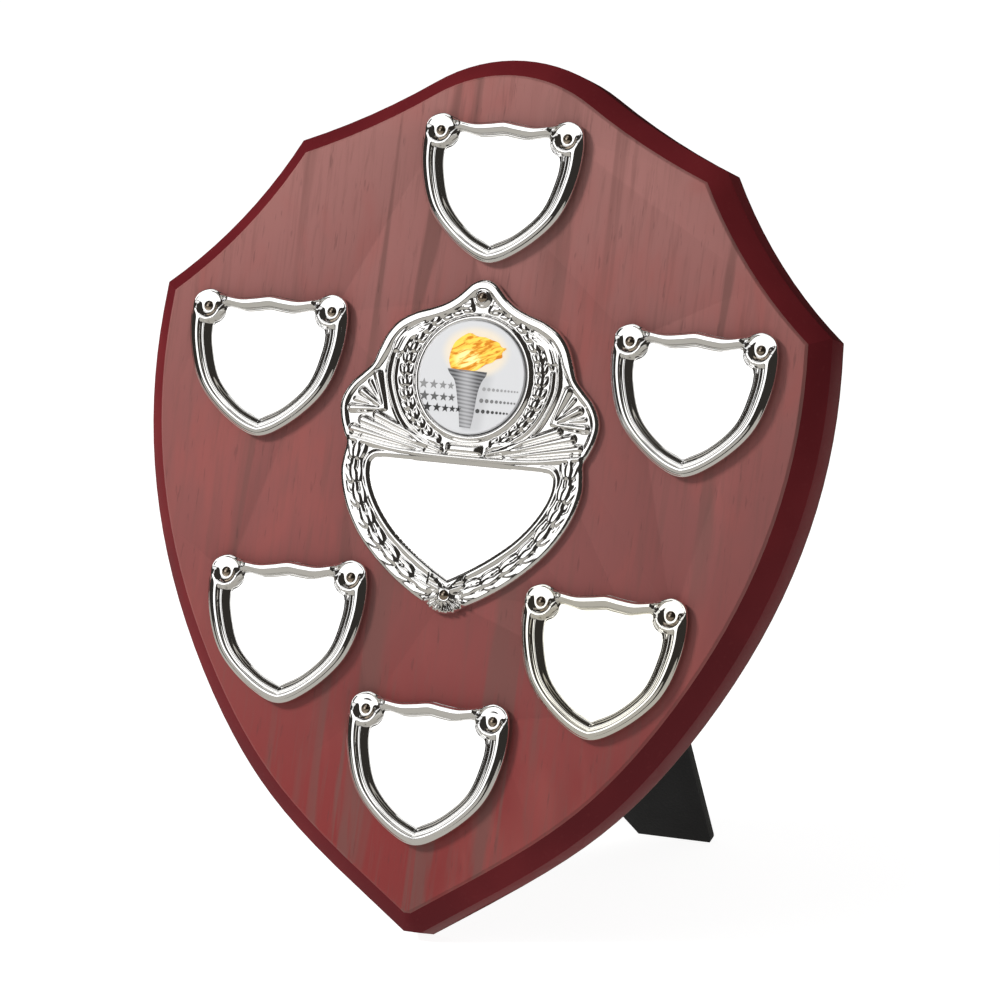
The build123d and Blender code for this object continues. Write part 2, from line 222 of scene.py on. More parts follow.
class Finish:
    """A material, its Principled shader, and one way of adding nodes to it."""

    def __init__(self, name, **values):
        self.material = bpy.data.materials.new(name)
        self.material.use_nodes = True
        self.tree = self.material.node_tree
        self.shader = self.tree.nodes["Principled BSDF"]
        for socket, value in values.items():
            self.shader.inputs[socket.replace("_", " ")].default_value = value

    def node(self, kind, settings=None, sockets=None):
        node = self.tree.nodes.new(kind)
        for key, value in (settings or {}).items():
            setattr(node, key, value)
        for key, value in (sockets or {}).items():
            if isinstance(value, Socket):
                self.tree.links.new(value.link, node.inputs[key])
            else:
                node.inputs[key].default_value = value
        return NodeOutputs(self, node)

    def feed(self, socket, value):
        self.tree.links.new(value.link, self.shader.inputs[socket])

    def place(self, scale=(1, 1, 1)):
        """Points in the board's own directions: x across, y up the board, z out of its face."""
        here = self.node("ShaderNodeTexCoord")["Object"]
        turned = {"Vector": here, "Rotation": (lean - pi / 2, 0, 0)}
        board_place = self.node("ShaderNodeMapping", {}, turned)["Vector"]
        return self.node("ShaderNodeMapping", {}, {"Vector": board_place, "Scale": scale})["Vector"]

    def noise(self, scale, detail=2.0, roughness=0.5, stretch=(1, 1, 1), distortion=0.0):
        sockets = {"Vector": self.place(stretch), "Scale": scale, "Detail": detail}
        sockets.update({"Roughness": roughness, "Distortion": distortion})
        return self.node("ShaderNodeTexNoise", {}, sockets)["Fac"]

    def mix(self, factor, first, second):
        settings = {"data_type": "RGBA"}
        return self.node("ShaderNodeMix", settings, {0: factor, 6: first, 7: second})[2]

    def bump(self, height, distance, strength=1.0):
        sockets = {"Height": height, "Distance": distance, "Strength": strength}
        self.feed("Normal", self.node("ShaderNodeBump", {}, sockets)["Normal"])


def lacquer():
    finish = Finish("mahogany_lacquer", Coat_Weight=0.02, Coat_Roughness=0.2, Specular_IOR_Level=0.07)
    cloud = finish.noise(26, 3).ramp(0.35, 0.7)
    speck = finish.noise(900, 1).ramp(0.62, 0.75)
    colour = finish.mix(cloud, lacquer_dark, lacquer_red)
    finish.feed("Base Color", finish.mix(speck * 0.12, colour, lacquer_speck))
    finish.feed("Roughness", cloud * 0.1 + 0.4)
    finish.bump(finish.noise(260, 2), 0.00002, 0.35)
    return finish.material


def copy_of_node(name, new_name):
    """A new piece with the CAD node's shape, its loose triangles merged into whole faces."""
    source = nodes[name]
    piece = bpy.data.objects.new(new_name, source.data.copy())
    bpy.context.scene.collection.objects.link(piece)
    piece.data.materials.clear()
    select_only(piece)
    bpy.ops.object.mode_set(mode="EDIT")
    bpy.ops.mesh.select_all(action="SELECT")
    bpy.ops.mesh.remove_doubles(threshold=0.000002)
    bpy.ops.mesh.customdata_custom_splitnormals_clear()
    bpy.ops.mesh.dissolve_limited(angle_limit=radians(1.0))
    bpy.ops.object.mode_set(mode="OBJECT")
    return piece


def break_edges(piece, width, segments=3, angle=30):
    """Rounds the piece's sharp edges and shades the rest smooth."""
    bevel = piece.modifiers.new("edges", "BEVEL")
    bevel.width = width
    bevel.segments = segments
    bevel.limit_method = "ANGLE"
    bevel.angle_limit = radians(angle)
    bevel.harden_normals = False
    select_only(piece)
    bpy.ops.object.modifier_apply(modifier=bevel.name)
    bpy.ops.object.shade_smooth_by_angle(angle=radians(angle))


def finish_piece(piece, body, slot, material, *replaced):
    """Gives a piece its material, the body it moves with and the CAD nodes it stands for."""
    piece.data.materials.clear()
    piece.data.materials.append(material)
    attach(piece, body)
    if replaced:
        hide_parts(*replaced)


board = copy_of_node("board_core", "bevelled_board")
break_edges(board, edge_break)
finish_piece(board, "plaque", "lacquered_board", lacquer(), "board_core")

# ---- Face and back ----
# The face is a thin rosewood-effect veneer with long grey-brown streaks and short pores,
# under satin varnish; the back carries a plain foil that stops the board warping.
# Foot, middle and head colours paint the varnish sheen as a gradient up the board: painted sheen, not a
# change in the wood.
rose_foot_without_painted_sheen = (0.186, 0.024, 0.023, 1)
rose_middle_with_painted_sheen = (0.198, 0.065, 0.060, 1)
rose_head_with_painted_sheen = (0.265, 0.113, 0.102, 1)
rose_patch = (0.262, 0.066, 0.058, 1)
streak_brown = (0.138, 0.058, 0.05, 1)
pore_dark = (0.07, 0.03, 0.028, 1)
foil_dark = (0.085, 0.02, 0.017, 1)
foil_light = (0.14, 0.038, 0.03, 1)
veneer_break = 0.00015


def rosewood():
    finish = Finish("rosewood_veneer", Specular_IOR_Level=0.3)
    rise = finish.node("ShaderNodeSeparateXYZ", {}, {0: finish.place()})["Y"]
    broad = finish.noise(170, 3, 0.55, (1, 0.05, 1), 0.7)
    band = finish.noise(42, 2, 0.5, (1, 0.16, 1), 0.3)
    patch = finish.noise(55, 3, 0.6, (1, 0.35, 1), 0.6)
    fine = finish.noise(900, 3, 0.65, (1, 0.06, 1), 0.3)
    pores = finish.noise(1500, 2, 0.5, (1, 0.11, 1))
    # Painted sheen: the veneer is painted paler and greyer towards the top of the board, standing in for the
    # softbox sheen that fades downwards.
    colour = finish.mix(rise.ramp(0.0, 0.09), rose_foot_without_painted_sheen, rose_middle_with_painted_sheen)
    colour = finish.mix(rise.ramp(0.08, 0.17), colour, rose_head_with_painted_sheen)
    colour = finish.mix(patch.ramp(0.45, 0.75) * 0.6, colour, rose_patch)
    streak = broad.ramp(0.5, 0.62) * band.ramp(0.4, 0.56)
    colour = finish.mix(streak * 0.75, colour, streak_brown)
    colour = finish.mix(fine.ramp(0.48, 0.72) * 0.34, colour, streak_brown)
    dark_pore = pores.ramp(0.64, 0.74)
    colour = finish.mix(dark_pore * 0.32, colour, pore_dark)
    finish.feed("Base Color", colour)
    finish.feed("Roughness", fine * 0.12 + 0.46)
    finish.bump(fine * 0.5 - dark_pore, 0.00003, 0.25)
    return finish.material


def foil():
    finish = Finish("back_foil", Roughness=0.5)
    grain = finish.noise(420, 3, 0.6, (1, 0.05, 1), 0.3)
    finish.feed("Base Color", finish.mix(grain.ramp(0.35, 0.7), foil_dark, foil_light))
    finish.bump(grain, 0.00002, 0.3)
    return finish.material


def dress(name, material):
    """Gives a CAD node that is shown as it is its material."""
    nodes[name].data.materials.clear()
    nodes[name].data.materials.append(material)


veneer = copy_of_node("front_veneer", "rosewood_face")
break_edges(veneer, veneer_break, 2)
finish_piece(veneer, "plaque", "rosewood_veneer", rosewood(), "front_veneer")
dress("back_foil", foil())

# ---- Side shields ----
# Six engraving shields, each pressed from one bright-plated sheet: a folded hem, a rolled
# frame with a fine inner ridge, a dished seat for a pin at each upper corner, a flat field.
shield_outer = (
    (0, 3.0), (3.5, 2.55), (7.5, 2.2), (11.4, 2.75), (12.9, 3.35), (15.1, 3.9),
    (17.9, 2.7), (19.0, 0), (18.6, -8.5), (15.0, -18.0), (6.3, -26.0), (0, -28.5),
)
shield_inner = (
    (0, -0.1), (3.0, -0.55), (5.5, -0.75), (10.7, -0.1), (11.0, -1.6), (12.0, -3.1),
    (13.6, -4.1), (13.8, -6.0), (13.4, -9.0), (11.0, -16.0), (5.5, -21.6), (0, -24.5),
)
rail_turns = (
    (0.02, 1.75), (0.17, 2.25), (0.34, 2.57), (0.42, 2.6), (0.57, 1.7), (0.66, 2.05), (0.93, 0.88),
    (0.965, 0.7), (1.0, 0.9),
)
bar_turns = ((0.02, 1.6), (0.2, 2.45), (0.42, 2.5), (0.83, 1.85), (0.93, 0.68), (1.0, 0.9))
bar_end, rail_start = 3.0, 6.5
seat_place = Vector((15.1, 0))
seat_floor = 1.5
seat_rim = 0.12
seat_lip = 0.95
dish_inner, dish_outer = 1.5, 2.75
seat_inner, seat_outer = 3.15, 3.9
notch_place = Vector((11.35, 1.75))
notch_inner, notch_outer = 0.2, 0.9
notch_depth = 0.75
hem_shares = (0.09, 0.06, 0.0, 0.012)
hem_rises = (0, 0.2, 0.62, 0.9)
frame_share = 0.03
field_share = 1.03
field_height = 0.9
path_steps = 12
ring_steps = 44
shield_names = ("top", "upper_left", "upper_right", "lower_left", "lower_right", "bottom")
plate_tint = (0.93, 0.925, 0.915, 1)
warm_plate_tint = (0.93, 0.915, 0.86, 1)
plate_roughness = 0.045


def smooth(low, high, value):
    """0 at low, 1 at high, eased between."""
    part = min(max((value - low) / (high - low), 0), 1)
    return part * part * (3 - 2 * part)


def profile(turns, at):
    """Height of a rolled section that eases from one turning point to the next."""
    height = turns[0][1]
    for (start, low), (end, high) in zip(turns, turns[1:]):
        height += (high - low) * smooth(start, end, at)
    return height


def through(points, steps, lead_in=None, lead_out=None):
    """A smooth path through the points, with the same number of steps between neighbours."""
    stops = [Vector(point) for point in points]
    lead_in = Vector(lead_in) if lead_in else 2 * stops[0] - stops[1]
    lead_out = Vector(lead_out) if lead_out else 2 * stops[-1] - stops[-2]
    stops = [lead_in, *stops, lead_out]
    path = []
    for a, b, c, d in zip(stops, stops[1:], stops[2:], stops[3:]):
        t1 = (b - a).length ** 0.5
        t2 = t1 + (c - b).length ** 0.5
        t3 = t2 + (d - c).length ** 0.5
        for step in range(steps):
            t = t1 + (t2 - t1) * step / steps
            ab = a.lerp(b, t / t1)
            bc = b.lerp(c, (t - t1) / (t2 - t1))
            cd = c.lerp(d, (t - t2) / (t3 - t2))
            abc = ab.lerp(bc, t / t2)
            bcd = bc.lerp(cd, (t - t1) / (t3 - t1))
            path.append(abc.lerp(bcd, (t - t1) / (t2 - t1)))
    path.append(stops[-2])
    return path


def mirrored(point):
    return -point[0], point[1]


def new_piece(name, points, faces):
    """A piece from its points and faces, with its faces turned outwards."""
    mesh = bpy.data.meshes.new(name)
    mesh.from_pydata(points, [], faces)
    piece = bpy.data.objects.new(name, mesh)
    bpy.context.scene.collection.objects.link(piece)
    select_only(piece)
    bpy.ops.object.mode_set(mode="EDIT")
    bpy.ops.mesh.select_all(action="SELECT")
    bpy.ops.mesh.remove_doubles(threshold=0.00001)
    bpy.ops.mesh.normals_make_consistent(inside=False)
    bpy.ops.object.mode_set(mode="OBJECT")
    return piece


def shield_height(along, across, x, y):
    """How far the sheet stands off the board at a place on the rolled frame."""
    height = profile(bar_turns, across)
    height += (profile(rail_turns, across) - height) * smooth(bar_end, rail_start, along)
    from_seat = (Vector((abs(x), y)) - seat_place).length
    below = smooth(-0.45, 0.35, (seat_place.y - y) / max(from_seat, 0.01))
    dish = seat_floor + (seat_rim + seat_lip * below) * smooth(dish_inner, dish_outer, from_seat)
    height += (dish - height) * (1 - smooth(seat_inner, seat_outer, from_seat))
    from_notch = (Vector((abs(x), y)) - notch_place).length
    return height - notch_depth * (1 - smooth(notch_inner, notch_outer, from_notch))


def shield_sheet():
    """The pressed sheet, flat in X and Y in millimetres with its pin line on X."""
    outer = through(shield_outer, path_steps, mirrored(shield_outer[1]), mirrored(shield_outer[-2]))
    inner = through(shield_inner, path_steps)
    last = len(outer) - 1
    columns = [(1, index) for index in range(last + 1)]
    columns += [(-1, index) for index in range(last - 1, 0, -1)]
    rings = [step / ring_steps for step in range(ring_steps + 1)]
    shares = [*hem_shares, *(frame_share + (1 - frame_share) * ring for ring in rings), field_share]
    points = []
    for ring, across in enumerate(shares):
        for side, index in columns:
            place = outer[index].lerp(inner[index], across)
            height = shield_height(index / path_steps, across, place.x, place.y)
            if across > 1:
                height = field_height
            elif ring < len(hem_shares):
                height = profile(rail_turns, 0) * hem_rises[ring]
            points.append((side * place.x, place.y, height))
    count = len(columns)
    faces = []
    for ring in range(len(shares) - 1):
        for column in range(count):
            beside = (column + 1) % count
            here, there = ring * count, (ring + 1) * count
            faces.append((here + column, here + beside, there + beside, there + column))
    faces.append(tuple(range(count)))
    faces.append(tuple(range((len(shares) - 1) * count, len(shares) * count)))
    sheet = new_piece("shield_sheet", points, faces)
    bpy.ops.object.shade_smooth_by_angle(angle=radians(50))
    return sheet


def mean(spots):
    return sum(spots, Vector()) / len(spots)


def face_frame(group, field, height):
    """The matrix that lays a plate, drawn flat in millimetres, on the board by its two pins."""
    places = [vertex.co for vertex in nodes[f"{group}_pins"].data.vertices]
    middle = mean(places)
    right = mean([place for place in places if place.x > middle.x])
    left = mean([place for place in places if place.x <= middle.x])
    across = (right - left).normalized()
    origin = (left + right) / 2
    face = front_normal.dot(Vector(mounts[field]["pos_m"])) - height * millimetre
    origin += front_normal * (face - front_normal.dot(origin))
    upward = front_normal.cross(across)
    turn = Matrix((across, upward, front_normal)).transposed().to_4x4()
    return Matrix.Translation(origin) @ turn @ Matrix.Scale(millimetre, 4)


def bright_plate(name, tint, roughness=plate_roughness):
    finish = Finish(name, Metallic=1.0)
    finish.shader.inputs["Base Color"].default_value = tint
    smear = finish.noise(70, 4, 0.6)
    finish.feed("Roughness", smear.ramp(0.35, 0.75) * 0.05 + roughness)
    finish.bump(finish.noise(500, 2), 0.00001, 0.12)
    return finish.material


plate_finish = bright_plate("bright_plate", plate_tint)
warm_plate_finish = bright_plate("bright_plate_warm", warm_plate_tint)
pattern = shield_sheet()
for name in shield_names:
    shield = pattern.copy()
    shield.data = pattern.data.copy()
    shield.name = f"pressed_shield_{name}"
    bpy.context.scene.collection.objects.link(shield)
    shield.data.transform(face_frame(name, f"{name}_engraving_field", field_height))
    finish = warm_plate_finish if name == "lower_right" else plate_finish
    finish_piece(shield, "plaque", "pressed_plate", finish, f"side_shield_{name}")
bpy.data.objects.remove(pattern)

# ---- Centre mount ----
# One bright-plated sheet with a struck relief, held by a pin at its crown and one in its knot:
# a laurel ring round the disc, fans of petals and long flutes at the sides, and laurel sprays
# that a ribbon ties under a flat field.
mount_half = (
    (0, 21.9), (1.7, 21.6), (3.2, 20.7), (4.6, 19.3), (6.2, 17.8), (8.4, 16.3), (11.4, 15.0),
    (15.5, 13.6), (19.3, 11.3), (21.7, 8.3), (23.2, 4.8), (24.4, 1.5), (26.4, -0.7), (28.6, -2.9),
    (30.3, -5.7), (30.9, -8.3), (30.4, -11.5), (29.3, -14.4), (28.3, -16.5), (28.6, -19.2),
    (28.8, -22.7), (27.7, -27.4), (25.8, -31.7), (22.7, -36.4), (18.6, -40.7), (13.5, -44.8),
    (8.2, -48.2), (4.4, -50.2), (2.6, -51.4), (0, -51.9),
)
mount_field_half = (
    (0, -18.9), (10, -18.9), (19.4, -18.9), (20.9, -19.2), (21.8, -20.2), (21.9, -22.7),
    (20.9, -26), (18.4, -30.3), (14.6, -34.7), (9.7, -38.7), (4.5, -42.1), (0, -44.6),
)
cell = 0.185
soften_rounds = 4
ground = 1.0
wall_height = 0.4
rim_width, rim_top = 1.4, 1.45
crown_extra_width, crown_extra_top = 0.7, 0.4
rim_round, rim_fall = 0.9, 0.7
relief_start, relief_full = 0.2, 1.2
mount_field_height = 0.9
bead_rise, bead_round = 0.5, 0.6
bead_inner, bead_fall_start, bead_outer = 1.1, 1.0, 1.7
bead_fall = 0.4
disc_pocket = 12.62
ring_clear = 14.3
ring_middle, ring_half_width, ring_top = 13.25, 0.75, 1.75
pin_spots = ((0, 17.7), (0, -47.8))
pin_seat = 1.9
pin_seat_inner, pin_seat_outer = 1.3, 2.2
wreath_radius = 15.9
wreath_start, wreath_turn, wreath_step = -68, 150, 3
wreath_leaves = dict(spacing=2.6, length=3.4, width=1.25, top=1.45, spread=1.1, splay=0.42, vein=0.12)
spray_leaves = dict(spacing=5.2, length=6.0, width=1.85, top=1.75, spread=1.7, splay=0.26, vein=0.14)
outer_leaves = dict(spacing=5.2, length=3.6, width=1.2, top=1.55, spread=2.7, splay=0.2)
outer_start = 5
spray_line = (
    (3.4, -47.4), (8.2, -44.9), (13.05, -41.4), (17.6, -37.3), (21, -32.8), (23.5, -28.3),
    (25.2, -22.7), (25.3, -18.6),
)
scroll_lines = (
    (((20, 3.3), (20.3, -1), (18.7, -6), (15.9, -10.9), (11.7, -14.3), (5.4, -16.4)), 0.42, 1.7),
    (((18.6, 2.6), (18.6, -1.6), (16.9, -6.6), (14.3, -10.6), (10.5, -13.4), (5.6, -15.3)), 0.36, 1.5),
    (((20, 3.3), (19, 7.2), (15.9, 10.6), (11.7, 12.4)), 0.4, 1.6),
    (((18.2, 3.6), (16.5, 7.6), (13.2, 10.4)), 0.34, 1.45),
)
shoulder_shifts = (0, 0.9, 1.8)
shoulder_radius, shoulder_top = 0.38, 1.5
fan_root, fan_root_width, fan_top = (19.9, -8.5), 0.35, 1.95
fan_tips = (((22.6, -1.0), 0.95), ((25.8, -5.0), 0.9), ((27.9, -8.9), 0.9))
between_root, between_top = (20.4, -8.2), 1.4
between_widths = (0.2, 0.4)
between_tips = ((24.4, -2.6), (27.4, -6.8))
flute_root_width, flute_top = 0.3, 2.1
flutes = (
    ((8.6, -15.0), (21.6, -9.9), 0.874), ((9.2, -15.8), (24.8, -11.3), 1.058),
    ((9.6, -16.7), (27.0, -13.3), 0.92),
)
field_bar = ((28.0, -15.3), (24, -15.9), (18, -16.9), (9, -17.5), (0, -17.7))
field_bar_radius, field_bar_top = 0.62, 1.65
crown_leaf_length, crown_leaf_width, crown_leaf_top = 3.0, 1.2, 1.5
crown_leaves = (
    ((2.2, 16.2), 40), ((3.4, 15.4), 15), ((5.2, 14.6), 5), ((7.0, 13.9), -8), ((1.6, 14.9), 20),
)
band_middle, band_half_width, band_half_height = -15.7, 4.2, 0.95
band_foot, band_rise = 1.3, 0.85
knot_place = (0, -47.8)
skirt_reach, skirt_half_angle = 5.0, 75
pleat_level, pleat_depth, pleat_rate = 1.6, 0.6, 15
bow_half_width, bow_top, fold_depth, fold_rate = 4.4, 1.9, 0.3, 5.2
relief_tint = (0.93, 0.92, 0.905, 1)
relief_roughness = 0.1


def distance_to(points, path):
    """How far each point lies from a path, with the nearest place on it."""
    nearest = np.full(len(points), 1e9)
    places = np.zeros_like(points)
    for start, end in zip(path, path[1:]):
        start, end = np.array(start), np.array(end)
        run = end - start
        share = np.clip(((points - start) @ run) / max(run @ run, 1e-12), 0, 1)
        spot = start + share[:, None] * run
        gap = np.hypot(*(points - spot).T)
        closer = gap < nearest
        nearest[closer] = gap[closer]
        places[closer] = spot[closer]
    return nearest, places


def inside(points, loop):
    """True where a point is inside the closed loop."""
    within = np.zeros(len(points), bool)
    x, y = points.T
    for (ax, ay), (bx, by) in zip(loop, [*loop[1:], loop[0]]):
        if ay != by:
            crosses = (ay > y) != (by > y)
            within ^= crosses & (x < (bx - ax) * (y - ay) / (by - ay) + ax)
    return within


def eased(low, high, values):
    """0 at low, 1 at high, eased between, for an array."""
    part = np.clip((values - low) / (high - low), 0, 1)
    return part * part * (3 - 2 * part)


def whole(half):
    """Both sides of a half path that runs down the right from the middle."""
    return [tuple(p) for p in half] + [(-p[0], p[1]) for p in reversed(half[1:-1])]


class Relief:
    """Heights of a struck sheet over a set of places; each stroke of the die only raises it."""

    def __init__(self, places):
        self.places = places
        self.height = np.full(len(places), ground)

    def near(self, middle, reach):
        return np.flatnonzero(np.hypot(*(self.places - np.array(middle)).T) < reach)

    def raise_to(self, chosen, height):
        self.height[chosen] = np.maximum(self.height[chosen], height)

    def ridge(self, points, radius, top, steps=6):
        """A round-backed line through the points, on both sides of the plate."""
        for side in (1, -1):
            path = [tuple(p) for p in through([(side * x, y) for x, y in points], steps)]
            gap, _ = distance_to(self.places, path)
            chosen = gap < radius
            self.raise_to(chosen, ground + (top - ground) * (1 - (gap[chosen] / radius) ** 4))

    def petal(self, root, tip, root_width, tip_width, top):
        """A rounded finger that widens from its root to its tip, on both sides of the plate."""
        for side in (1, -1):
            start, end = np.array((side * root[0], root[1])), np.array((side * tip[0], tip[1]))
            run = end - start
            length = np.hypot(*run)
            chosen = self.near((start + end) / 2, length / 2 + tip_width)
            offset = self.places[chosen] - start
            share = np.clip(offset @ run / length ** 2, 0, 1)
            gap = np.hypot(*(offset - share[:, None] * run).T)
            width = root_width + (tip_width - root_width) * share
            part = np.clip(gap / width, 0, 1)
            height = ground + (top - ground) * (0.45 + 0.55 * share) * (1 - part ** 4)
            self.raise_to(chosen, np.where(part < 1, height, 0))

    def leaf(self, root, angle, length, width, top, vein=0.22):
        """A pointed leaf with a sunk vein, on both sides of the plate."""
        for side in (1, -1):
            along = np.array((side * cos(angle), sin(angle)))
            across = np.array((-along[1], along[0]))
            start = np.array((side * root[0], root[1]))
            chosen = self.near(start + along * length / 2, length)
            offset = self.places[chosen] - start
            share = offset @ along / length
            gap = np.abs(offset @ across)
            half = width / 2 * np.sin(pi * np.clip(share, 0, 1) ** 0.75) + 1e-6
            part = gap / half
            on = (share > 0) & (share < 1) & (part < 1)
            body = (top - ground) * np.sin(pi * np.clip(share, 0, 1) ** 0.6) ** 0.35
            height = ground + body * (1 - np.clip(part, 0, 1) ** 4)
            height -= vein * np.exp(-((gap / 0.16) ** 2)) * np.clip(4 - 4 * share, 0, 1)
            self.raise_to(chosen, np.where(on, height, 0))


def laurel(relief, path, spacing, length, width, top, spread, splay, vein=0.0):
    """Leaves in threes up a stem, one on its line and one to each side."""
    lengths = [(b - a).length for a, b in zip(path, path[1:])]
    travelled, target = 0.0, 0.0
    for start, end, step in zip(path, path[1:], lengths):
        while target <= travelled + step:
            place = start.lerp(end, (target - travelled) / step)
            angle = atan2(end.y - start.y, end.x - start.x)
            sideways = Vector((-sin(angle), cos(angle)))
            for side in (1, -1):
                root = place + sideways * side * spread * 0.35
                relief.leaf(root, angle + side * splay, length * 0.92, width, top - 0.1, vein)
            relief.leaf(place, angle, length, width * 1.05, top + 0.15, vein)
            target += spacing
        travelled += step


def struck_heights(places):
    """Every raised line, leaf and petal of the die, then the ring and the band under the disc."""
    relief = Relief(places)
    angles = [radians(wreath_start + step) for step in range(0, wreath_turn, wreath_step)]
    ring_path = [Vector((wreath_radius * cos(a), wreath_radius * sin(a))) for a in angles]
    laurel(relief, ring_path, **wreath_leaves)
    spray_path = through(spray_line, 8)
    laurel(relief, spray_path, **spray_leaves)
    laurel(relief, spray_path[outer_start:], **outer_leaves)
    for points, radius, top in scroll_lines:
        relief.ridge(points, radius, top)
    for shift in shoulder_shifts:
        foot, bend = (19.2 - shift, 4.6), (17.7 - shift, 7.9 - shift * 0.1)
        head = (12.6 - shift * 0.3, 11.6 - shift)
        relief.ridge((foot, bend, head), shoulder_radius, shoulder_top)
    for tip, width in fan_tips:
        relief.petal(fan_root, tip, fan_root_width, width, fan_top)
    for tip in between_tips:
        relief.petal(between_root, tip, *between_widths, between_top)
    for root, tip, width in flutes:
        relief.petal(root, tip, flute_root_width, width, flute_top)
    relief.ridge(field_bar, field_bar_radius, field_bar_top, steps=4)
    for spot, angle in crown_leaves:
        relief.leaf(spot, radians(angle), crown_leaf_length, crown_leaf_width, crown_leaf_top)
    radius = np.hypot(*places.T)
    height = np.where(radius < ring_clear, ground, relief.height)
    off_ring = np.clip(np.abs(radius - ring_middle) / ring_half_width, 0, 1)
    height = np.maximum(height, ground + (ring_top - ground) * (1 - off_ring ** 4))
    x, y = places.T
    off_band = np.maximum(np.abs(x) / band_half_width, np.abs(y - band_middle) / band_half_height)
    return np.maximum(height, np.where(off_band < 1, band_foot + band_rise * (1 - off_band ** 6), 0))


def with_rim(height, edge, y):
    """The relief inside a rounded outer rim, which is broader and taller round the crown."""
    crown = eased(0, 5, y)
    width = rim_width + crown_extra_width * crown
    top = rim_top + crown_extra_top * crown
    rounded = np.sqrt(np.clip(1 - (1 - np.clip(edge / rim_round, 0, 1)) ** 2, 0, 1))
    rim = wall_height + (top - wall_height) * rounded
    rim += (ground - top) * eased(width, width + rim_fall, edge)
    return np.maximum(height * eased(relief_start, relief_full, edge), rim)


def with_field(height, field):
    """The flat engraving field, sunk inside a rounded bead."""
    bead = mount_field_height + bead_rise * np.sin(pi / 2 * np.clip(field / bead_round, 0, 1))
    bead -= bead_fall * eased(bead_fall_start, bead_outer, field)
    beside = np.where(field < bead_inner, bead, np.maximum(bead, height))
    height = np.where(field < bead_outer, beside, height)
    return np.where(field <= 0, mount_field_height, height)


def with_knot(height, places, edge):
    """The ribbon that ties the sprays: a pleated skirt with a bow on it."""
    knot = places - np.array(knot_place)
    angle = np.arctan2(knot[:, 0], -knot[:, 1])
    skirt = (np.hypot(*knot.T) < skirt_reach) & (np.abs(angle) < radians(skirt_half_angle))
    pleats = pleat_level + pleat_depth * np.cos(angle * pleat_rate)
    height = np.where(skirt, pleats * eased(0, 0.35, edge), height)
    out, up = np.abs(knot[:, 0]), places[:, 1]
    bow = (out < bow_half_width) & (np.abs(knot[:, 1] - 0.6 - out * 0.55) < 0.5 + out * 0.28)
    folds = bow_top + fold_depth * np.cos(fold_rate * (up - out * 0.4))
    return np.where(bow, np.maximum(folds, height), height)


def with_seats(height, places):
    """Flat places for the two pins and for the disc's pad."""
    for spot in pin_spots:
        gap = np.hypot(*(places - np.array(spot)).T)
        height = height + (pin_seat - height) * (1 - eased(pin_seat_inner, pin_seat_outer, gap))
    return np.where(np.hypot(*places.T) < disc_pocket, mount_field_height, height)


def gap_inside(places, loop):
    """How far each place lies inside the closed loop, less than zero outside it."""
    gap, _ = distance_to(places, [*loop, loop[0]])
    return np.where(inside(places, loop), gap, -gap)


def flat_places(work):
    work.verts.ensure_lookup_table()
    return np.array([vertex.co[:2] for vertex in work.verts])


def mount_sheet():
    """The pressing, flat in X and Y in millimetres about the middle of its disc."""
    outline = whole(through(mount_half, 12, mirrored(mount_half[1]), mirrored(mount_half[-2])))
    field_loop = whole(through(mount_field_half, 8, mirrored(mount_field_half[1])))
    wide = max(across for across, _ in mount_half)
    high, low = mount_half[0][1], mount_half[-1][1]
    columns, rows = int(2 * wide / cell) + 2, int((high - low) / cell) + 2
    bpy.ops.object.select_all(action="DESELECT")
    bpy.ops.mesh.primitive_grid_add(x_subdivisions=columns, y_subdivisions=rows, size=1)
    sheet = bpy.context.object
    work = bmesh.new()
    work.from_mesh(sheet.data)
    middle = (high + low) / 2
    for vertex in work.verts:
        vertex.co = (vertex.co.x * columns * cell, vertex.co.y * rows * cell + middle, 0)
    edge = gap_inside(flat_places(work), outline)
    outside = [vertex for vertex, gap in zip(work.verts, edge) if gap < cell * 0.45]
    bmesh.ops.delete(work, geom=outside, context="VERTS")
    places = flat_places(work)
    edge = gap_inside(places, outline)
    field = -gap_inside(places, field_loop)
    height = with_rim(struck_heights(places), edge, places[:, 1])
    height = with_knot(with_field(height, field), places, edge)
    height = with_seats(height, places)
    for vertex, level in zip(work.verts, height):
        vertex.co.z = level
    struck = [vertex for vertex, gap in zip(work.verts, field) if gap > 0]
    for _ in range(soften_rounds):
        bmesh.ops.smooth_vert(work, verts=struck, factor=0.5, use_axis_z=True)
    for level in (wall_height, 0.0):
        rim_edges = [item for item in work.edges if item.is_boundary]
        made = bmesh.ops.extrude_edge_only(work, edges=rim_edges)["geom"]
        fresh = [item for item in made if isinstance(item, bmesh.types.BMVert)]
        flat = np.array([vertex.co[:2] for vertex in fresh])
        _, spots = distance_to(flat, [*outline, outline[0]])
        for vertex, spot in zip(fresh, spots):
            vertex.co = (*spot, level)
    bmesh.ops.contextual_create(work, geom=[item for item in work.edges if item.is_boundary])
    bmesh.ops.recalc_face_normals(work, faces=work.faces)
    work.to_mesh(sheet.data)
    work.free()
    sheet.name = "pressed_centre_mount"
    select_only(sheet)
    bpy.ops.object.shade_smooth_by_angle(angle=radians(60))
    return sheet


def board_frame(across, upward, outward):
    """The matrix that lays a plate, drawn flat in millimetres, square on the board at a place."""
    turn = Matrix((Vector((1, 0, 0)), board_up, front_normal)).transposed().to_4x4()
    place = Vector((across, 0, 0)) + board_up * upward + front_normal * outward
    return Matrix.Translation(place) @ turn @ Matrix.Scale(millimetre, 4)


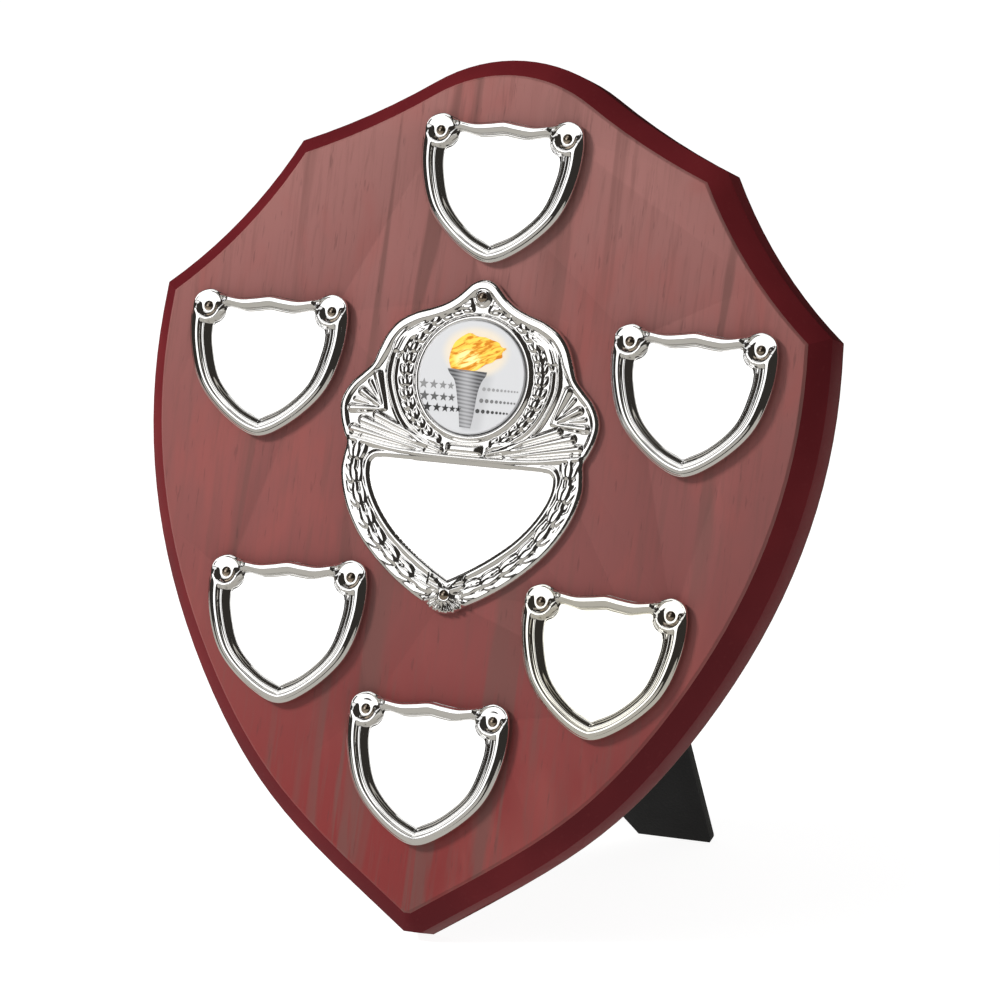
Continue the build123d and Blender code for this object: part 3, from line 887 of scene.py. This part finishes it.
board_up = front_normal.cross(Vector((1, 0, 0)))
field_spot = Vector(mounts["centre_engraving_field"]["pos_m"])
face_level = front_normal.dot(field_spot) - mount_field_height * millimetre
disc_low, disc_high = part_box("centre_disc")
disc_middle = (disc_low + disc_high) / 2
disc_rise = board_up.dot(disc_middle)
mount_finish = bright_plate("bright_relief", relief_tint, relief_roughness)
mount_piece = mount_sheet()
mount_piece.data.transform(board_frame(0, disc_rise, face_level))
finish_piece(mount_piece, "plaque", "pressed_plate", mount_finish, "centre_mount")

# ---- Printed disc ----
# A 25 mm stiff printed card under clear film: a torch with a flame, rows of stars and rows
# of spots on pale grey. The glow and the soft shadow are the card's own colour, the rest is
# thin ink. It lies on its pad in the ring of the centre mount.
disc_grey = (0.58, 0.583, 0.592, 1)
flame_yellow = (1.0, 0.62, 0.09, 1)
flame_pale = (1.0, 0.83, 0.38, 1)
flame_orange = (0.6, 0.2, 0.008, 1)
flame_glow = (0.95, 0.74, 0.42, 1)
torch_dark = (0.055, 0.055, 0.058, 1)
torch_light = (0.46, 0.46, 0.47, 1)
shadow_grey = (0.42, 0.42, 0.43, 1)
disc_top = 2.0
ink_level = disc_top + 0.004
ink_thickness = 0.03
flame_edge = (
    (-5.2, 1.7), (-5.8, 3.4), (-5.6, 5.6), (-4.9, 7.4), (-3.4, 8.8), (-1.6, 9.7), (0.2, 9.1),
    (2.1, 9.0), (3.9, 8.5), (5.4, 8.1), (6.2, 7.2), (7.4, 6.9), (6.5, 6.0), (6.6, 4.9), (5.3, 4.4),
    (4.3, 3.6), (3.0, 3.1), (1.9, 2.3), (0.6, 1.5), (-2.3, 1.2), (-5.2, 1.7),
)
star_rows = (
    (-2.2, (-11.1, -8.7, -6.5, -4.6), 1.2, 0.24),
    (-4.8, (-10.6, -8.2, -6.0, -4.1), 1.25, 0.11),
    (-7.2, (-9.6, -7.3, -5.3, -3.6, -2.2), 1.15, 0.035),
)
dot_rows = ((-2.3, 3.3, 11.5, 0.44, 0.3), (-4.85, 3.0, 11.0, 0.5, 0.17), (-7.2, 2.4, 9.8, 0.5, 0.06))
torch_left = (
    (-5.9, 1.6), (-5.4, 0.7), (-4.0, -0.8), (-3.2, -3.0), (-2.6, -5.5), (-1.9, -8.2), (-1.4, -11.0),
)
torch_right = ((1.2, -11.1), (1.5, -8.6), (1.7, -5.0), (2.0, -2.4), (2.6, -0.6), (3.3, 0.5), (3.5, 1.4))


def on_sheet(finish, middle_up):
    """Millimetres across and up the board from a middle, as two Sockets."""
    sockets = {0: finish.place(), "Scale": 1 / millimetre}
    place = finish.node("ShaderNodeVectorMath", {"operation": "SCALE"}, sockets)[0]
    parts = finish.node("ShaderNodeSeparateXYZ", {}, {0: place})
    return parts["X"], parts["Y"] - middle_up / millimetre


def printed_card():
    finish = Finish("printed_card", Roughness=0.3, Specular_IOR_Level=0.25)
    x, y = on_sheet(finish, disc_rise)
    glow = 1 - ((((x - 0.3) / 7.6) ** 2 + ((y - 5.6) / 5.4) ** 2) ** 0.5).ramp(0.8, 1.15)
    stem = (x - 2.6 - (y + 12) * 0.11).ramp(-0.4, 2.2)
    shade = (1 - stem) * y.ramp(-12.5, -10.8) * (1 - y.ramp(-0.2, 2.0)) * (x + 1.0).ramp(-1.0, 1.0)
    card = finish.mix(shade * 0.55, disc_grey, shadow_grey)
    finish.feed("Base Color", finish.mix(glow * 0.4, card, flame_glow))
    return finish.material


def ink(name):
    return Finish(name, Roughness=0.35, Specular_IOR_Level=0.2)


def flame_ink():
    """Yellow and orange strands that sweep up to the right, palest near the cup."""
    finish = ink("flame_ink")
    x, y = on_sheet(finish, disc_rise)
    sweep = {"Vector": finish.place(), "Rotation": (0, 0, radians(24)), "Scale": (3.6, 1, 1)}
    swept = finish.node("ShaderNodeMapping", {"vector_type": "TEXTURE"}, sweep)["Vector"]
    sockets = {"Vector": swept, "Scale": 1250, "Detail": 4, "Roughness": 0.55, "Distortion": 0.5}
    strands = finish.node("ShaderNodeTexNoise", {}, sockets)["Fac"]
    colour = finish.mix(strands.ramp(0.38, 0.58), flame_orange, flame_yellow)
    heart = 1 - (((x + 1.4) / 3.6) ** 2 + ((y - 3.9) / 2.6) ** 2).ramp(0.2, 1.1)
    heart = heart * strands.ramp(0.44, 0.6)
    finish.feed("Base Color", finish.mix(heart * 0.9, colour, flame_pale))
    return finish.material


def grey_ink(name, shade):
    finish = ink(name)
    darker, lighter = (*[shade * 0.9] * 3, 1), (*[shade * 1.1] * 3, 1)
    finish.feed("Base Color", finish.mix(finish.noise(900, 2), darker, lighter))
    return finish.material


def torch_ink():
    """Ribbed grey metal, lightest left of its middle and dark towards the right."""
    finish = ink("torch_ink")
    x, y = on_sheet(finish, disc_rise)
    rib = ((y + x * 0.10) * 7.6).math("SINE") * 0.5 + 0.5
    middle = (y + 11) * -0.13 + 0.6
    lit = 1 - ((x - middle + 0.4).math("ABSOLUTE") / 3.2).ramp(0, 1)
    level = rib * 0.42 + lit * 0.5
    finish.feed("Base Color", finish.mix(level, torch_dark, torch_light))
    return finish.material


def ink_prisms(name, loops):
    """Thin flat shapes lying just above the disc, each from its closed loop of points."""
    points, faces = [], []
    for loop in loops:
        first, count = len(points), len(loop)
        points += [(x, y, ink_level + level) for level in (0, ink_thickness) for x, y in loop]
        faces.append(tuple(range(first, first + count)))
        faces.append(tuple(range(first + count, first + 2 * count)))
        for index in range(count):
            beside = (index + 1) % count
            faces.append((first + index, first + beside, first + count + beside, first + count + index))
    return new_piece(name, points, faces)


def star(x, y, size):
    """A five-pointed star's outline about a place."""
    reaches = [size if corner % 2 == 0 else size * 0.42 for corner in range(10)]
    turns = [pi / 2 + corner * pi / 5 for corner in range(10)]
    return [(x + reach * cos(turn), y + reach * sin(turn)) for reach, turn in zip(reaches, turns)]


def dots(y, start, end, size):
    """Round spots that shrink to the right, as a printed row fades out."""
    loops, x = [], start
    while x < end:
        left = size * (1 - 0.55 * (x - start) / (end - start))
        loops.append([(x + left * cos(turn * pi / 4), y + left * sin(turn * pi / 4)) for turn in range(8)])
        x += 2.35 * left + 0.12
    return loops


dress("centre_disc", printed_card())
torch_loop = [tuple(p) for p in through(torch_left, 4)] + [tuple(p) for p in through(torch_right, 4)]
flame_loop = [tuple(p) for p in through(flame_edge, 4)][:-1]
prints = [
    ("printed_torch", [torch_loop], torch_ink()),
    ("printed_flame", [flame_loop], flame_ink()),
]
for number, (row, dot_row) in enumerate(zip(star_rows, dot_rows), 1):
    y, across, size, shade = row
    stars = [star(x, y, size * (1 - 0.09 * index)) for index, x in enumerate(across)]
    prints.append((f"printed_stars_{number}", stars, grey_ink(f"star_ink_{number}", shade)))
    y, start, end, size, shade = dot_row
    spots = dots(y, start, end, size)
    prints.append((f"printed_dots_{number}", spots, grey_ink(f"dot_ink_{number}", shade)))
for name, loops, finish in prints:
    mark = ink_prisms(name, loops)
    mark.data.transform(board_frame(0, disc_rise, face_level))
    finish_piece(mark, "plaque", "printed_disc", finish)

# ---- Pins ----
# Brass-washed steel tacks with low domed heads and short points, two to each plate, driven
# through the plate into the board.
tack_head, tack_rise, tack_shank, tack_depth = 1.15, 0.72, 0.55, 7.0
tack_point = 2 * tack_shank
pin_base = (0.40, 0.33, 0.26)


def turned_steel(name, base, roughness, grain):
    """Plated or washed steel, a little cloudy in tone and in polish."""
    finish = Finish(name, Metallic=1.0)
    cloud = finish.noise(grain, 4, 0.6)
    pale = tuple(min(1, value * 1.18) for value in base) + (1,)
    finish.feed("Base Color", finish.mix(cloud.ramp(0.3, 0.7), (*base, 1), pale))
    finish.feed("Roughness", cloud * 0.16 + roughness)
    finish.bump(finish.noise(grain * 6, 2), 0.00001, 0.2)
    return finish.material


def tack(name):
    """One tack, its head a low dome with its rim on the XY plane, in millimetres."""
    ball = (tack_head ** 2 + tack_rise ** 2) / (2 * tack_rise)
    bpy.ops.object.select_all(action="DESELECT")
    middle = (0, 0, tack_rise - ball)
    bpy.ops.mesh.primitive_uv_sphere_add(segments=32, ring_count=48, radius=ball, location=middle)
    piece = bpy.context.object
    bpy.ops.object.transform_apply(location=True, rotation=True, scale=True)
    bpy.ops.object.mode_set(mode="EDIT")
    bpy.ops.mesh.select_all(action="SELECT")
    bpy.ops.mesh.bisect(plane_co=(0, 0, 0), plane_no=(0, 0, 1), use_fill=True, clear_inner=True)
    bpy.ops.mesh.inset(thickness=tack_head - tack_shank)
    for depth in (tack_depth - tack_point, tack_point):
        bpy.ops.mesh.extrude_region_move(TRANSFORM_OT_translate={"value": (0, 0, -depth)})
    bpy.ops.transform.resize(value=(0.2, 0.2, 1))
    bpy.ops.object.mode_set(mode="OBJECT")
    bpy.ops.object.shade_smooth_by_angle(angle=radians(35))
    piece.name = name
    return piece


pin_finish = turned_steel("brass_washed_steel", pin_base, 0.12, 300)
for name in (*shield_names, "centre"):
    spots = [vertex.co for vertex in nodes[f"{name}_pins"].data.vertices]
    level = max(front_normal.dot(spot) for spot in spots) - tack_rise * millimetre
    along = board_up if name == "centre" else Vector((1, 0, 0))
    middle = sum(along.dot(spot) for spot in spots) / len(spots)
    before = [spot for spot in spots if along.dot(spot) < middle]
    beyond = [spot for spot in spots if along.dot(spot) >= middle]
    pair = []
    for number, group in enumerate((before, beyond)):
        spot = mean(group)
        pin = tack(f"tack_{name}_{number}")
        pin.data.transform(board_frame(spot.x, board_up.dot(spot), level))
        pair.append(pin)
    select_only(*pair)
    bpy.ops.object.join()
    pair[0].name = f"dome_pins_{name}"
    finish_piece(pair[0], "plaque", "drive_pins", pin_finish, f"{name}_pins")

# ---- Disc pad ----
# A thin round of white foam with adhesive on both faces. It holds the disc down in the
# mount's ring, and the disc covers it.
pad_dark = (0.55, 0.54, 0.5, 1)
pad_light = (0.7, 0.69, 0.65, 1)


def foam_pad():
    finish = Finish("foam_pad", Roughness=0.8)
    finish.feed("Base Color", finish.mix(finish.noise(2500, 2), pad_dark, pad_light))
    return finish.material


dress("disc_adhesive_pad", foam_pad())

# ---- Hinge ----
# Two zinc-plated leaves with rolled knuckles on a steel pin. One is screwed to the back of
# the board, the other riveted to the strut, with an ear that stops the strut when it is open.
zinc_base = (0.55, 0.56, 0.58)
fixing_base = (0.42, 0.42, 0.43)
zinc_finish = turned_steel("zinc_plate", zinc_base, 0.28, 120)
fixing_finish = turned_steel("fixing_steel", fixing_base, 0.3, 200)
for name in ("hinge_board_leaf", "hinge_strut_leaf", "hinge_pin"):
    dress(name, zinc_finish)
for name in ("hinge_screws", "hinge_rivets"):
    dress(name, fixing_finish)

# ---- Strut ----
# A tapered hardboard leg with a notch between its feet, covered in black leather-grain
# paper. It swings on the hinge to lie flat against the back.
cover_dark = (0.006, 0.0063, 0.0067, 1)
cover_light = (0.011, 0.0115, 0.0122, 1)
strut_break = 0.00035


def strut_cover():
    finish = Finish("strut_cover", Roughness=0.55, Specular_IOR_Level=0.22)
    sockets = {"Vector": finish.place(), "Scale": 900}
    cells = finish.node("ShaderNodeTexVoronoi", {"feature": "DISTANCE_TO_EDGE"}, sockets)
    crease = cells["Distance"].ramp(0.0, 0.16)
    cloud = finish.noise(60, 3)
    finish.feed("Base Color", finish.mix(cloud.ramp(0.3, 0.75), cover_dark, cover_light))
    finish.feed("Roughness", cloud * 0.15 + 0.45)
    finish.bump(crease, 0.00005, 0.5)
    return finish.material


stand = copy_of_node("strut", "black_stand")
break_edges(stand, strut_break)
finish_piece(stand, "strut", "strut_black", strut_cover(), "strut")
